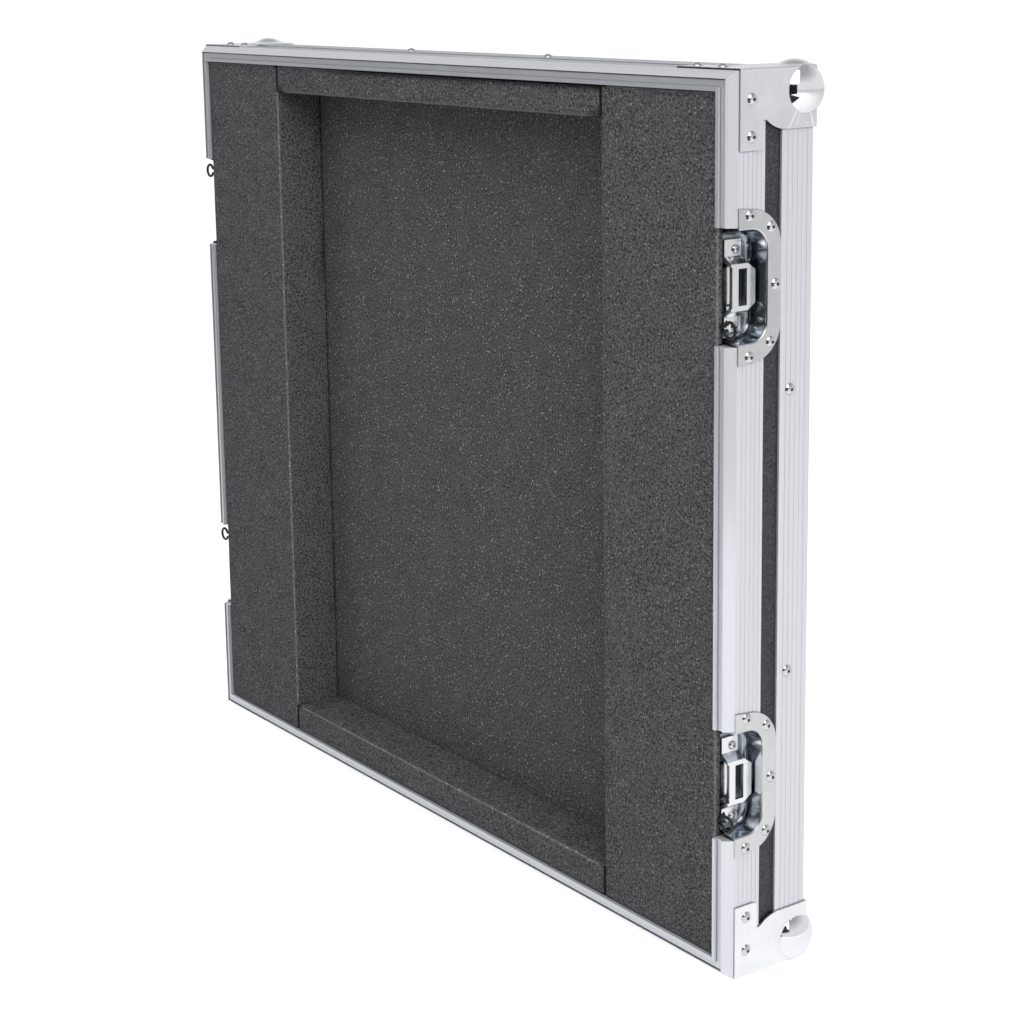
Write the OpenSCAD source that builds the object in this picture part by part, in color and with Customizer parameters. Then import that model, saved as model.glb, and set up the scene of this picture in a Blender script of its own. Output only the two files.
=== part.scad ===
// Lift-off cover of a 19 inch rack flight case, upright on its bottom edge.
// The open side looks along -Y, the latch keepers sit in the left and right sides.

/* [Cover] */
// Width over the aluminium sections
cover_width = 540; // [480:1:620]
// Height over the aluminium sections, ten rack units and their walls
cover_height = 471; // [400:1:700]
// Depth from the parting plane to the back face
cover_depth = 51; // [48:0.5:90]

/* [Boards] */
// Thickness of the laminated plywood
board_thickness = 7; // [6:0.5:10]

/* [Aluminium sections] */
// Wall thickness of the rim and the back angles
section_wall = 1.5; // [1:0.1:2]
// Depth of the rim's outer leg behind the parting plane
rim_outer_leg = 17.7; // [15:0.1:22]
// Depth of the rim's inner leg behind the parting plane
rim_inner_leg = 12; // [8:0.5:16]
// Width of the bevel along the rim's outer edge
rim_bevel_width = 3.8; // [2:0.1:4.5]
// How far the bevel stands before the parting plane
rim_bevel_rise = 5.3; // [4:0.1:7]
// Width of the groove beside the bevel
rim_groove_width = 0.7; // [0.3:0.1:1.2]
// Depth of that groove below the flat band
rim_groove_depth = 0.8; // [0.3:0.1:1.5]
// How far the flat band lies behind the bevel's edge
rim_band_drop = 0.9; // [0.2:0.1:1.5]
// Width of the lip along the rim's inner edge
rim_lip_width = 2; // [1.2:0.1:3]
// How far the lip stands before the flat band
rim_lip_rise = 1.7; // [0.5:0.1:3]
// Leg of the back angle
angle_leg = 22; // [20:0.5:26]
// Rounding of the back angle's outer edge
angle_round = 2; // [0.5:0.1:4]
// Flutes along each visible leg
flute_count = 5; // [3:1:8]
// Width of a flute
flute_width = 1.4; // [0.4:0.1:2]
// Depth of a flute
flute_depth = 0.1; // [0.05:0.05:0.4]

/* [Latch dishes] */
// Distance of each dish's centre from the nearer end
latch_from_end = 106; // [95:1:140]
// Length of the flange along the parting plane
flange_length = 78; // [72:0.5:84]
// Reach of the flange behind the parting plane
flange_depth = 28; // [27:0.1:34]
// Rounding of the flange's back corners
flange_round = 18.5; // [12:0.5:24]
// How much shorter the flange is where its rounding starts
flange_taper = 1; // [0:0.1:2]
// Length of the dish's mouth
mouth_length = 56.6; // [52:0.2:60]
// Reach of the mouth behind the parting plane
mouth_depth = 19.2; // [18:0.1:22]
// Corner radius of the mouth
mouth_round = 10.5; // [7:0.5:14]
// Depth of the pan below the flange's outer face
pan_depth = 13; // [11:0.5:16]
// Sheet thickness of the dish
dish_sheet = 1; // [0.6:0.1:1.4]
// How far the pan's walls draw in on their way to the floor
pan_draft = 1.2; // [0.3:0.1:2]
// Rounding between the pan's walls and its floor
pan_fillet = 3; // [1:0.25:4]
// Rounding of the mouth's edge
mouth_edge_round = 0.9; // [0.3:0.1:1]
// Clearance round the pan in the board and the rim
pan_clearance = 0.3; // [0.1:0.1:0.8]

/* [Keepers] */
// Sheet thickness of the keeper
keeper_sheet = 1.5; // [1:0.1:2]
// Height of the raised loop's underside over the pan's floor
loop_rise = 5; // [4:0.1:6]
// Length of the raised loop
loop_length = 23.7; // [20:0.1:27]
// Width of the raised loop
loop_width = 15.2; // [13:0.1:16]
// Distance of the loop's front edge from the parting plane
loop_front = 1.7; // [1:0.1:2.2]
// How far the loop's middle lies below the dish's centre
loop_drop = 0.8; // [0:0.1:3]
// Clipped corners of the loop, along its length
loop_clip_length = 3.6; // [1:0.1:6]
// Clipped corners of the loop, across its width
loop_clip_width = 5; // [1:0.1:6]
// Length of the slot for the latch hook
slot_length = 18.7; // [16:0.1:19.5]
// Width of the slot for the latch hook
slot_width = 5.6; // [4.5:0.1:6.5]
// Distance of the upper lug's end from the rounding of the pan's floor
lug_margin = 1.3; // [0.3:0.1:3]
// Width of both lugs
lug_width = 10.9; // [9:0.1:12]
// Distance of the lower lug's end from the rounding of the pan's floor
eye_lug_margin = 0.4; // [0.2:0.1:3]
// Run of the ramps between the lugs and the loop
ramp_run = 1.8; // [1:0.1:3]
// Length of the flat tongue under the loop's front edge
tongue_length = 19.4; // [14:0.1:20]
// Width of that tongue
tongue_width = 4; // [3:0.1:5]
// Outer radius of the padlock eye
eye_radius = 4.8; // [4:0.1:5.4]
// Wire radius of the padlock eye
eye_wire = 0.85; // [0.5:0.05:1.1]

/* [Ball corners] */
// Sheet thickness of the corner plates
corner_sheet = 1; // [0.6:0.1:1.6]
// Radius of the ball
ball_radius = 15; // [14:0.5:16]
// Distance of the ball's centre from the side face
ball_inset_side = 8.1; // [7:0.1:9.5]
// Distance of the ball's centre from the back face
ball_inset_back = 6.7; // [6:0.1:9]
// Distance of the ball's centre from the end face
ball_inset_end = 10.8; // [10:0.1:11.5]
// Width of the legs that run along the rim
corner_leg_width = 15.2; // [13:0.1:17]
// Length of the leg on the side face, from the end
corner_side_leg = 39; // [33:0.5:46]
// Length of the leg on the end face, from the side
corner_end_leg = 46; // [40:0.5:55]
// Rounding of the legs' free back corner
corner_leg_round = 3; // [1:0.25:5]
// Distance of the notch beside the leg from the edge
corner_notch = 24.4; // [22:0.2:26]
// Reach of the skirt from the edge
corner_skirt = 29.5; // [27:0.5:34]
// Radius of the skirt's curved edge
skirt_round = 20; // [16:0.5:24]
// Rounding of the back plate's free corner
back_plate_round = 9; // [4:0.5:14]
// Pleats pressed into the side skirt below the ball
pleat_count = 5; // [3:1:7]
// Radius of a pleat
pleat_radius = 1.2; // [0.8:0.1:2]
// How far a pleat stands out of the skirt
pleat_rise = 0.3; // [0.1:0.05:0.6]
// Lean of the frontmost pleat
pleat_front_lean = 31; // [20:1:35]
// Lean of the rearmost pleat, the other way
pleat_back_lean = 16; // [8:1:18]
// Reach of the end plate's swell from the ball's axis
swell_reach = 13; // [12:0.1:16]

/* [Rivets] */
// Diameter of a rivet's domed head
rivet_diameter = 6.2; // [5:0.1:7]
// Height of a rivet's domed head
rivet_height = 1.8; // [1.2:0.1:2.4]
// Diameter of the keepers' rivet heads
keeper_rivet_diameter = 4.8; // [4:0.1:6]
// Spacing of the rivets on the side angles
side_rivet_spacing = 149; // [100:1:200]
// Spacing of the rivets on the end angles
end_rivet_spacing = 140; // [100:1:200]
// Distance of the angle rivets from the case's edge
angle_rivet_inset = 15; // [12:0.5:17]

/* [Foam] */
// Thickness of the pad on the back panel
foam_pad = 13.2; // [8:0.2:16]
// Width of the strips along the sides
foam_side_strip = 91.7; // [60:0.5:130]
// Thickness of the strips along the ends
foam_end_strip = 17.2; // [10:0.2:40]
// How far the foam's front lies behind the rim's lip
foam_setback = 2; // [1:0.1:4]
// Clearance round each foam piece
foam_gap = 0.3; // [0.2:0.1:0.6]

/* [Hidden] */
$fn = 48;

// One overrun serves every cut.
overrun = 2;
half_width = cover_width / 2;
rim_width = board_thickness + 2 * section_wall;
band_y = -(rim_bevel_rise - rim_band_drop);
lip_y = band_y - rim_lip_rise;
board_outer = half_width - section_wall;
board_inner = board_outer - board_thickness;
panel_outer_y = cover_depth - section_wall;
panel_inner_y = panel_outer_y - board_thickness;
upper_z = cover_height - latch_from_end;
lower_z = latch_from_end;

// The origin lies under the middle of the box round the whole cover.
back_reach = max(ball_radius - ball_inset_back, corner_sheet + rivet_height);
foot_drop = max(ball_radius - ball_inset_end, corner_sheet + rivet_height);
middle_y = (cover_depth + back_reach + lip_y) / 2;

// Dish and keeper.
arc_steps = 6;
mouth_axis_y = mouth_depth - mouth_round;
mouth_axis_z = mouth_length / 2 - mouth_round;
flange_axis_y = flange_depth - flange_round;
flange_axis_z = flange_length / 2 - flange_taper - flange_round;
dish_face = half_width + dish_sheet;
pan_floor = dish_face - pan_depth;
pan_half = mouth_length / 2 + dish_sheet + pan_clearance;
pan_reach = mouth_depth + dish_sheet + pan_clearance;
loop_top = loop_length / 2 - loop_drop;
loop_bottom = -loop_length / 2 - loop_drop;
loop_back = loop_front + loop_width;
floor_half = mouth_length / 2 - pan_draft - pan_fillet;
lug_length = floor_half - lug_margin - loop_top - ramp_run;
eye_lug_length = floor_half - eye_lug_margin + loop_bottom - ramp_run;
slot_front_share = 0.42;
slot_front = loop_front + (loop_width - slot_width) * slot_front_share;
lug_lead = 0.9;
lug_front = loop_front - lug_lead;
tongue_lead = 0.6;
tongue_front = lug_front - tongue_lead;
eye_lead = 1.4;
eye_y = lug_front + eye_lead;
eye_along_share = 0.72;
eye_z = loop_bottom - ramp_run - eye_lug_length * eye_along_share;
eye_x = pan_floor + keeper_sheet + eye_radius - 2 * eye_wire;
lug_rivet_shift = 1.5;
lug_rivet_y = lug_front + lug_width / 2 + lug_rivet_shift;
lug_rivet_z = loop_top + ramp_run + lug_length / 2;
eye_rivet_z = eye_z;

flange_rivet_front = 7.4;
flange_rivet_end = 3.8;
flange_rivet_edge = 3.3;
flange_rivet_lean = 38;
flange_rivet_y = flange_axis_y + (flange_round - flange_rivet_edge) * cos(flange_rivet_lean);
flange_rivet_z = flange_axis_z + (flange_round - flange_rivet_edge) * sin(flange_rivet_lean);
// Places of the flange's rivets: distance behind the parting plane, height from the centre.
flange_rivets = [
    [flange_rivet_front, flange_length / 2 - flange_rivet_end],
    [flange_rivet_y, flange_rivet_z],
    [flange_depth - flange_rivet_edge, 0],
    [flange_rivet_y, -flange_rivet_z],
    [flange_rivet_front, -(flange_length / 2 - flange_rivet_end)]
];

// Corners.
corner_front = 0.4;
corner_rivet_y = corner_front + corner_leg_width / 2;
side_rivet_near = 14;
side_rivet_end = 6.7;
end_rivet_near = 20.5;
end_rivet_end = 6.5;
back_rivet_inset = corner_skirt - back_plate_round;
ball_x = half_width - ball_inset_side;
ball_y = cover_depth - ball_inset_back;
ball_z = cover_height - ball_inset_end;
ball_sunk = ball_inset_end + corner_sheet;
// The swell's curve runs a little into the ball, so that the two cross.
swell_sink = 0.14;
swell_ball = ball_radius - swell_sink;
swell_round = (pow(swell_reach, 2) - pow(swell_ball, 2) + pow(ball_sunk, 2)) / (2 * (swell_ball - ball_sunk));
swell_top = (ball_sunk + swell_round) * swell_ball / (swell_ball + swell_round);

// Foam.
foam_front_y = lip_y + foam_setback;
foam_pad_y = panel_inner_y - foam_gap - foam_pad;
foam_strip_y = foam_pad_y - foam_gap;
foam_outer_x = half_width - rim_width - foam_gap;
foam_inner_x = foam_outer_x - foam_side_strip;
foam_end_inset = rim_width + foam_gap;

aluminium = [0.78, 0.79, 0.81];
zinc = [0.7, 0.72, 0.75];
laminate = [0.09, 0.09, 0.1];
foam_grey = [0.24, 0.24, 0.26];

// Plan of a side face, points as [depth, height], raised along X from x.
module on_side(x, thickness) {
    translate([x, 0, 0])
        rotate([90, 0, 90])
            linear_extrude(thickness)
                children();
}

// Plan of a front view, points as [x, z], raised along Y from y_front to y_back.
module on_front(y_front, y_back) {
    translate([0, y_back, 0])
        rotate([90, 0, 0])
            linear_extrude(y_back - y_front)
                children();
}

module flutes(length) {
    pitch = length / (flute_count + 1);
    for (i = [1:flute_count])
        translate([0, i * pitch])
            square([2 * flute_depth, flute_width], center = true);
}

// Rim section: x inwards from the outer face, y behind the parting plane.
module rim_section() {
    groove_end = rim_bevel_width + rim_groove_width;
    groove_y = band_y + rim_groove_depth;
    lip_start = rim_width - rim_lip_width;
    difference() {
        polygon([
            [0, rim_outer_leg],
            [0, 0],
            [rim_bevel_width, -rim_bevel_rise],
            [rim_bevel_width, groove_y],
            [groove_end, groove_y],
            [groove_end, band_y],
            [lip_start, band_y],
            [lip_start, lip_y],
            [rim_width, lip_y],
            [rim_width, rim_inner_leg],
            [rim_width - section_wall, rim_inner_leg],
            [rim_width - section_wall, 0],
            [section_wall, 0],
            [section_wall, rim_outer_leg]
        ]);
        flutes(rim_outer_leg);
    }
}

// Back angle section in the same directions.
module angle_section() {
    difference() {
        translate([0, cover_depth - angle_leg])
            square([angle_leg, angle_leg]);
        translate([section_wall, panel_outer_y - angle_leg])
            square([angle_leg, angle_leg]);
        translate([0, cover_depth - angle_leg])
            flutes(angle_leg - angle_round);
        translate([0, cover_depth])
            rotate(-90)
                translate([0, angle_round])
                    flutes(angle_leg - angle_round);
        difference() {
            translate([-overrun, cover_depth - angle_round])
                square([overrun + angle_round, angle_round + overrun]);
            translate([angle_round, cover_depth - angle_round])
                circle(angle_round);
        }
    }
}

module right_bar(z_low, z_high) {
    translate([half_width, 0, z_low])
        mirror([1, 0, 0])
            linear_extrude(z_high - z_low)
                children();
}

module top_bar() {
    translate([-half_width, 0, cover_height])
        rotate([0, 90, 0])
            linear_extrude(cover_width)
                children();
}

// Wedges that mitre the bars where they meet.
module right_wedge() {
    reach = angle_leg + overrun;
    on_front(lip_y - overrun, cover_depth + overrun)
        polygon([
            [half_width + overrun, -overrun],
            [half_width + overrun, cover_height + overrun],
            [half_width - reach, cover_height - reach],
            [half_width - reach, reach]
        ]);
}

module top_wedge() {
    reach = angle_leg + overrun;
    on_front(lip_y - overrun, cover_depth + overrun)
        polygon([
            [-half_width - overrun, cover_height + overrun],
            [half_width + overrun, cover_height + overrun],
            [half_width - reach, cover_height - reach],
            [-half_width + reach, cover_height - reach]
        ]);
}

module right_rim(z_low, z_high) {
    intersection() {
        right_bar(z_low, z_high)
            rim_section();
        right_wedge();
    }
}

module rim_upper() {
    right_rim(upper_z + pan_half, cover_height);
}

module rim_middle() {
    right_rim(lower_z + pan_half, upper_z - pan_half);
}

module rim_lower() {
    right_rim(0, lower_z - pan_half);
}

module rim_end() {
    intersection() {
        top_bar()
            rim_section();
        top_wedge();
    }
}

module side_angle() {
    intersection() {
        right_bar(0, cover_height)
            angle_section();
        right_wedge();
    }
}

module end_angle() {
    intersection() {
        top_bar()
            angle_section();
        top_wedge();
    }
}

// Plan of the pan in the side board, with room all round.
module board_notch() {
    corner = mouth_round + dish_sheet + pan_clearance;
    translate([-overrun, -pan_half])
        square([overrun + pan_reach - corner, 2 * pan_half]);
    translate([-overrun, corner - pan_half])
        square([overrun + pan_reach, 2 * (pan_half - corner)]);
    for (side = [-1, 1])
        translate([pan_reach - corner, side * (pan_half - corner)])
            circle(corner);
}

module side_board() {
    difference() {
        translate([board_inner, 0, section_wall])
            cube([board_thickness, panel_inner_y, cover_height - 2 * section_wall]);
        for (z = [lower_z, upper_z])
            translate([0, 0, z])
                on_side(board_inner - overrun, board_thickness + 2 * overrun)
                    board_notch();
    }
}

module end_board() {
    translate([-board_inner, 0, cover_height - section_wall - board_thickness])
        cube([2 * board_inner, panel_inner_y, board_thickness]);
}

module back_board() {
    translate([-board_outer, panel_inner_y, section_wall])
        cube([2 * board_outer, board_thickness, cover_height - 2 * section_wall]);
}

// Half section of the pan: x from the corner's axis outwards, y from the flange's face.
function pan_arc(cx, cy, r, from, to) = [
    for (i = [0:arc_steps])
        let (a = from + (to - from) * i / arc_steps)
            [cx + r * cos(a), cy + r * sin(a)]
];

function hollow_profile() =
    let (
        floor_r = mouth_round - pan_draft - pan_fillet,
        edge = mouth_edge_round
    )
    concat(
        [[0, overrun], [mouth_round + edge, overrun]],
        pan_arc(mouth_round + edge, -edge, edge, 90, 180),
        pan_arc(floor_r, pan_fillet - pan_depth, pan_fillet, 0, -90),
        [[0, -pan_depth]]
    );

function shell_profile() =
    let (
        floor_r = mouth_round - pan_draft - pan_fillet,
        outer_fillet = pan_fillet + dish_sheet
    )
    concat(
        [[0, 0], [mouth_round + dish_sheet, 0], [mouth_round + dish_sheet, -dish_sheet]],
        pan_arc(floor_r, pan_fillet - pan_depth, outer_fillet, 0, -90),
        [[0, -pan_depth - dish_sheet]]
    );

// The pan's form round its two corner axes, open towards the parting plane.
module pan_form(profile, depth, above, before) {
    translate([dish_face, 0, 0]) {
        for (side = [-1, 1])
            translate([0, mouth_axis_y, side * mouth_axis_z])
                rotate([0, 90, 0])
                    rotate_extrude()
                        polygon(profile);
        translate([0, mouth_axis_y, -mouth_axis_z])
            mirror([1, -1, 0])
                linear_extrude(2 * mouth_axis_z)
                    polygon(profile);
        for (flip = [0, 1])
            mirror([0, 0, flip])
                translate([0, -before, mouth_axis_z])
                    rotate([0, -90, -90])
                        linear_extrude(mouth_axis_y + before)
                            polygon(profile);
        translate([-depth, -before, -mouth_axis_z])
            cube([depth + above, mouth_axis_y + before, 2 * mouth_axis_z]);
    }
}

module flange_plan() {
    shoulder = flange_length / 2 - flange_taper;
    polygon([
        [0, -flange_length / 2],
        [flange_axis_y, -shoulder],
        [flange_axis_y, shoulder],
        [0, flange_length / 2]
    ]);
    translate([0, -flange_axis_z])
        square([flange_depth, 2 * flange_axis_z]);
    for (side = [-1, 1])
        translate([flange_axis_y, side * flange_axis_z])
            circle(flange_round);
}

// Right dish about its own centre height.
module dish() {
    difference() {
        union() {
            on_side(half_width, dish_sheet)
                flange_plan();
            pan_form(shell_profile(), pan_depth + dish_sheet, 0, 0);
        }
        pan_form(hollow_profile(), pan_depth, overrun, overrun);
        translate([pan_floor - 2 * dish_sheet, -flange_length, -flange_length])
            cube([pan_depth + 2 * dish_sheet + overrun, flange_length, 2 * flange_length]);
    }
}

// Side profile of the stamped keeper, points as [height over the floor, z].
module keeper_profile() {
    step = loop_rise;
    polygon([
        [0, loop_top + ramp_run + lug_length],
        [0, loop_top + ramp_run],
        [step, loop_top - keeper_sheet],
        [step, loop_bottom + keeper_sheet],
        [0, loop_bottom - ramp_run],
        [0, loop_bottom - ramp_run - eye_lug_length],
        [keeper_sheet, loop_bottom - ramp_run - eye_lug_length],
        [keeper_sheet, loop_bottom - ramp_run - keeper_sheet],
        [step + keeper_sheet, loop_bottom],
        [step + keeper_sheet, loop_top],
        [keeper_sheet, loop_top + ramp_run + keeper_sheet],
        [keeper_sheet, loop_top + ramp_run + lug_length]
    ]);
}

// Outline of the keeper seen from the side of the case.
module keeper_plan() {
    lug_top = loop_top + ramp_run + lug_length;
    eye_end = loop_bottom - ramp_run - eye_lug_length;
    difference() {
        union() {
            translate([lug_front, loop_top - keeper_sheet])
                square([lug_width, lug_top - loop_top + keeper_sheet]);
            translate([lug_front, eye_end])
                square([lug_width, loop_bottom + keeper_sheet - eye_end]);
            polygon([
                [loop_front, loop_bottom],
                [loop_back - loop_clip_width, loop_bottom],
                [loop_back, loop_bottom + loop_clip_length],
                [loop_back, loop_top - loop_clip_length],
                [loop_back - loop_clip_width, loop_top],
                [loop_front, loop_top]
            ]);
        }
        translate([slot_front, -slot_length / 2 - loop_drop])
            square([slot_width, slot_length]);
    }
}

module keeper() {
    lug_top = loop_top + ramp_run;
    eye_top = loop_bottom - ramp_run;
    middle = -loop_drop;
    intersection() {
        translate([pan_floor, lug_front, 0])
            rotate([-90, 0, 0])
                mirror([0, 1, 0])
                    linear_extrude(loop_back - lug_front)
                        keeper_profile();
        on_side(pan_floor - overrun, loop_rise + keeper_sheet + 2 * overrun)
            keeper_plan();
    }
    translate([pan_floor, tongue_front, middle - tongue_length / 2])
        cube([keeper_sheet, tongue_width, tongue_length]);
    translate([pan_floor, tongue_front + tongue_width / 2, eye_top - keeper_sheet])
        cube([keeper_sheet, tongue_width / 2, lug_top - eye_top + 2 * keeper_sheet]);
    difference() {
        translate([eye_x, eye_y, eye_z])
            rotate([90, 0, 0])
                rotate_extrude()
                    translate([eye_radius - eye_wire, 0])
                        circle(eye_wire);
        translate([pan_floor - eye_radius, eye_y - eye_radius, eye_z - eye_radius])
            cube([eye_radius, 2 * eye_radius, 2 * eye_radius]);
    }
}

// Outline of one corner plate: x behind the parting plane, y from the edge.
module corner_plan(leg_length) {
    leg_back = corner_front + corner_leg_width;
    skirt_y = cover_depth - skirt_round;
    translate([corner_front, 0])
        square([cover_depth - corner_front, corner_notch]);
    intersection() {
        translate([skirt_y, corner_skirt - skirt_round])
            circle(skirt_round);
        square([cover_depth, corner_skirt]);
    }
    translate([skirt_y, 0])
        square([skirt_round, corner_skirt]);
    translate([corner_front, 0])
        square([corner_leg_width - corner_leg_round, leg_length]);
    translate([corner_front, 0])
        square([corner_leg_width, leg_length - corner_leg_round]);
    translate([leg_back - corner_leg_round, leg_length - corner_leg_round])
        circle(corner_leg_round);
}

module back_plate_plan() {
    run = corner_skirt - back_plate_round;
    square([corner_skirt, run]);
    square([run, corner_skirt]);
    translate([run, run])
        circle(back_plate_round);
}

// Plan of the side plate, raised from the case's side.
module side_plate(rise) {
    translate([half_width, 0, cover_height])
        mirror([0, 0, 1])
            on_side(0, rise)
                corner_plan(corner_side_leg);
}

// Pleats fanning out from the ball to the skirt's edge.
module pleats() {
    step = (pleat_front_lean + pleat_back_lean) / (pleat_count - 1);
    intersection() {
        side_plate(corner_sheet + pleat_radius);
        for (i = [0:pleat_count - 1]) {
            lean = pleat_front_lean - i * step;
            translate([half_width + corner_sheet + pleat_rise - pleat_radius, ball_y, ball_z])
                rotate([180 - lean, 0, 0])
                    cylinder(h = (corner_skirt - ball_inset_end + overrun) / cos(lean), r = pleat_radius);
        }
    }
}

// Swell of the end plate, where the sheet runs up to the ball in one hollow curve.
module swell() {
    translate([ball_x, ball_y, ball_z])
        intersection() {
            rotate_extrude()
                difference() {
                    translate([0, ball_inset_end])
                        square([swell_reach, swell_top - ball_inset_end]);
                    translate([swell_reach, ball_sunk + swell_round])
                        circle(swell_round);
                }
            translate([-swell_reach, -swell_reach, 0])
                cube([
                    swell_reach + ball_inset_side + corner_sheet / 2,
                    swell_reach + ball_inset_back + corner_sheet / 2,
                    2 * ball_radius
                ]);
        }
}

// Ball corner for the top right vertex of the cover.
module corner() {
    difference() {
        union() {
            side_plate(corner_sheet);
            translate([half_width, 0, cover_height])
                mirror([1, -1, 0])
                    linear_extrude(corner_sheet)
                        mirror([0, 1])
                            corner_plan(corner_end_leg);
            translate([half_width, 0, cover_height])
                mirror([1, 0, 0])
                    mirror([0, 0, 1])
                        on_front(cover_depth, cover_depth + corner_sheet)
                            back_plate_plan();
            translate([half_width, cover_depth, cover_height - corner_skirt])
                cylinder(h = corner_skirt, r = corner_sheet);
            translate([half_width - corner_skirt, cover_depth, cover_height])
                rotate([0, 90, 0])
                    cylinder(h = corner_skirt, r = corner_sheet);
            translate([half_width, cover_depth, cover_height])
                rotate([90, 0, 0])
                    cylinder(h = cover_depth - corner_front, r = corner_sheet);
            translate([half_width, cover_depth, cover_height])
                sphere(corner_sheet);
            translate([ball_x, ball_y, ball_z])
                sphere(ball_radius);
            pleats();
            swell();
        }
        translate([0, 0, cover_height / 2])
            cube([half_width, cover_depth, cover_height / 2]);
    }
}

// Domed rivet head on the plane z = 0.
module rivet(diameter) {
    half = diameter / 2;
    dome = (pow(half, 2) + pow(rivet_height, 2)) / (2 * rivet_height);
    intersection() {
        translate([0, 0, rivet_height - dome])
            sphere(dome);
        cylinder(h = 2 * rivet_height, r = diameter);
    }
}

module side_rivet(x, y, z, diameter) {
    translate([x, y, z])
        rotate([0, 90, 0])
            rivet(diameter);
}

module top_rivet(x, y) {
    translate([x, y, cover_height + corner_sheet])
        rivet(rivet_diameter);
}

module back_rivet(x, y, z) {
    translate([x, y, z])
        rotate([-90, 0, 0])
            rivet(rivet_diameter);
}

module both_sides() {
    children();
    mirror([1, 0, 0])
        children();
}

module turned(z) {
    translate([0, 0, z])
        rotate([0, 180, 0])
            children();
}

module raised(z) {
    translate([0, 0, z])
        children();
}

module upside_down() {
    translate([0, 0, cover_height])
        mirror([0, 0, 1])
            children();
}

module placed() {
    translate([0, -middle_y, foot_drop])
        children();
}

module back_panel() {
    color(laminate)
        placed()
            back_board();
}

module board_left() {
    color(laminate)
        placed()
            mirror([1, 0, 0])
                side_board();
}

module board_right() {
    color(laminate)
        placed()
            side_board();
}

module board_top() {
    color(laminate)
        placed()
            end_board();
}

module board_bottom() {
    color(laminate)
        placed()
            upside_down()
                end_board();
}

module rim_top() {
    color(aluminium)
        placed()
            rim_end();
}

module rim_bottom() {
    color(aluminium)
        placed()
            upside_down()
                rim_end();
}

module rim_left_upper() {
    color(aluminium)
        placed()
            mirror([1, 0, 0])
                rim_upper();
}

module rim_left_middle() {
    color(aluminium)
        placed()
            mirror([1, 0, 0])
                rim_middle();
}

module rim_left_lower() {
    color(aluminium)
        placed()
            mirror([1, 0, 0])
                rim_lower();
}

module rim_right_upper() {
    color(aluminium)
        placed()
            rim_upper();
}

module rim_right_middle() {
    color(aluminium)
        placed()
            rim_middle();
}

module rim_right_lower() {
    color(aluminium)
        placed()
            rim_lower();
}

module angle_left() {
    color(aluminium)
        placed()
            mirror([1, 0, 0])
                side_angle();
}

module angle_right() {
    color(aluminium)
        placed()
            side_angle();
}

module angle_top() {
    color(aluminium)
        placed()
            end_angle();
}

module angle_bottom() {
    color(aluminium)
        placed()
            upside_down()
                end_angle();
}

module corner_top_left() {
    color(zinc)
        placed()
            mirror([1, 0, 0])
                corner();
}

module corner_top_right() {
    color(zinc)
        placed()
            corner();
}

module corner_bottom_left() {
    color(zinc)
        placed()
            upside_down()
                mirror([1, 0, 0])
                    corner();
}

module corner_bottom_right() {
    color(zinc)
        placed()
            upside_down()
                corner();
}

module dish_left_upper() {
    color(zinc)
        placed()
            turned(upper_z)
                dish();
}

module dish_left_lower() {
    color(zinc)
        placed()
            turned(lower_z)
                dish();
}

module dish_right_upper() {
    color(zinc)
        placed()
            raised(upper_z)
                dish();
}

module dish_right_lower() {
    color(zinc)
        placed()
            raised(lower_z)
                dish();
}

module keeper_left_upper() {
    color(zinc)
        placed()
            turned(upper_z)
                keeper();
}

module keeper_left_lower() {
    color(zinc)
        placed()
            turned(lower_z)
                keeper();
}

module keeper_right_upper() {
    color(zinc)
        placed()
            raised(upper_z)
                keeper();
}

module keeper_right_lower() {
    color(zinc)
        placed()
            raised(lower_z)
                keeper();
}

module foam_back() {
    wide = board_inner - foam_gap;
    low = section_wall + board_thickness + foam_gap;
    color(foam_grey)
        placed()
            translate([-wide, foam_pad_y, low])
                cube([2 * wide, foam_pad, cover_height - 2 * low]);
}

// Side strip with a pocket behind each dish.
module foam_side() {
    pocket_x = pan_floor - dish_sheet - foam_gap;
    pocket_half = mouth_length / 2 + dish_sheet + foam_gap;
    pocket_back = mouth_depth + dish_sheet + foam_gap;
    difference() {
        translate([foam_inner_x, foam_front_y, foam_end_inset])
            cube([
                foam_side_strip,
                foam_strip_y - foam_front_y,
                cover_height - 2 * foam_end_inset
            ]);
        for (z = [lower_z, upper_z])
            translate([pocket_x, -foam_gap, z - pocket_half])
                cube([half_width - pocket_x, pocket_back + foam_gap, 2 * pocket_half]);
    }
}

module foam_end() {
    wide = foam_inner_x - foam_gap;
    translate([-wide, foam_front_y, cover_height - foam_end_inset - foam_end_strip])
        cube([2 * wide, foam_strip_y - foam_front_y, foam_end_strip]);
}

module foam_left() {
    color(foam_grey)
        placed()
            mirror([1, 0, 0])
                foam_side();
}

module foam_right() {
    color(foam_grey)
        placed()
            foam_side();
}

module foam_top() {
    color(foam_grey)
        placed()
            foam_end();
}

module foam_bottom() {
    color(foam_grey)
        placed()
            upside_down()
                foam_end();
}

module rivets_corner_side() {
    heights = [
        side_rivet_near,
        corner_side_leg - side_rivet_end,
        cover_height - side_rivet_near,
        cover_height - corner_side_leg + side_rivet_end
    ];
    color(zinc)
        placed()
            both_sides()
                for (z = heights)
                    side_rivet(half_width + corner_sheet, corner_rivet_y, z, rivet_diameter);
}

module end_leg_rivets() {
    both_sides()
        for (inset = [end_rivet_near, corner_end_leg - end_rivet_end])
            top_rivet(half_width - inset, corner_rivet_y);
}

module rivets_corner_top() {
    color(zinc)
        placed()
            end_leg_rivets();
}

module rivets_corner_bottom() {
    color(zinc)
        placed()
            upside_down()
                end_leg_rivets();
}

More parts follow.
